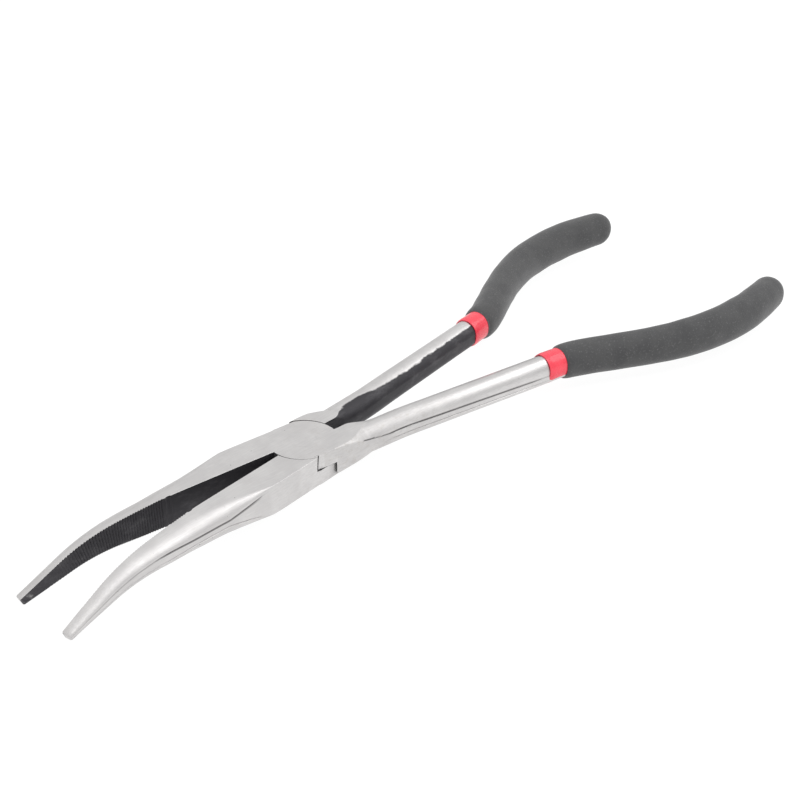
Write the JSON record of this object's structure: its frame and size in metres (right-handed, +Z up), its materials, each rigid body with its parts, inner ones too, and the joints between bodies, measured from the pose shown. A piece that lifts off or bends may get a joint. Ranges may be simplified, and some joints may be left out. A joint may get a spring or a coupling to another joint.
{
  "type": "needle nose pliers",
  "caption": "Long-reach needle nose pliers with bent serrated jaws, lap joint on a flush rivet, red sleeves and dark grey foam grips.",
  "frame": {"origin": "on the pivot axis, where it meets the joint's lower ground face", "axes": "+X to the jaw tips, +Y to the side of the upper half's handle, +Z up along the pivot axis"},
  "size_m": [0.2791, 0.0916, 0.0164],
  "materials": {
    "ground_steel": "ground and polished, black scale on the inner faces",
    "red_vinyl": "smooth glossy dip",
    "grey_foam": "matte, finely mottled"
  },
  "bodies": {
    "lower": {"lower_half": "ground_steel", "lower_sleeve": "red_vinyl", "lower_grip": "grey_foam", "rivet": "ground_steel"},
    "upper": {"upper_half": "ground_steel", "upper_sleeve": "red_vinyl", "upper_grip": "grey_foam"}
  },
  "joints": [
    {"name": "jaw_pivot", "type": "hinge", "parent": "lower", "child": "upper", "pos_m": [0, 0, 0.0047], "axis": [0, 0, -1], "range_deg": [-11.47, 27]}
  ]
}
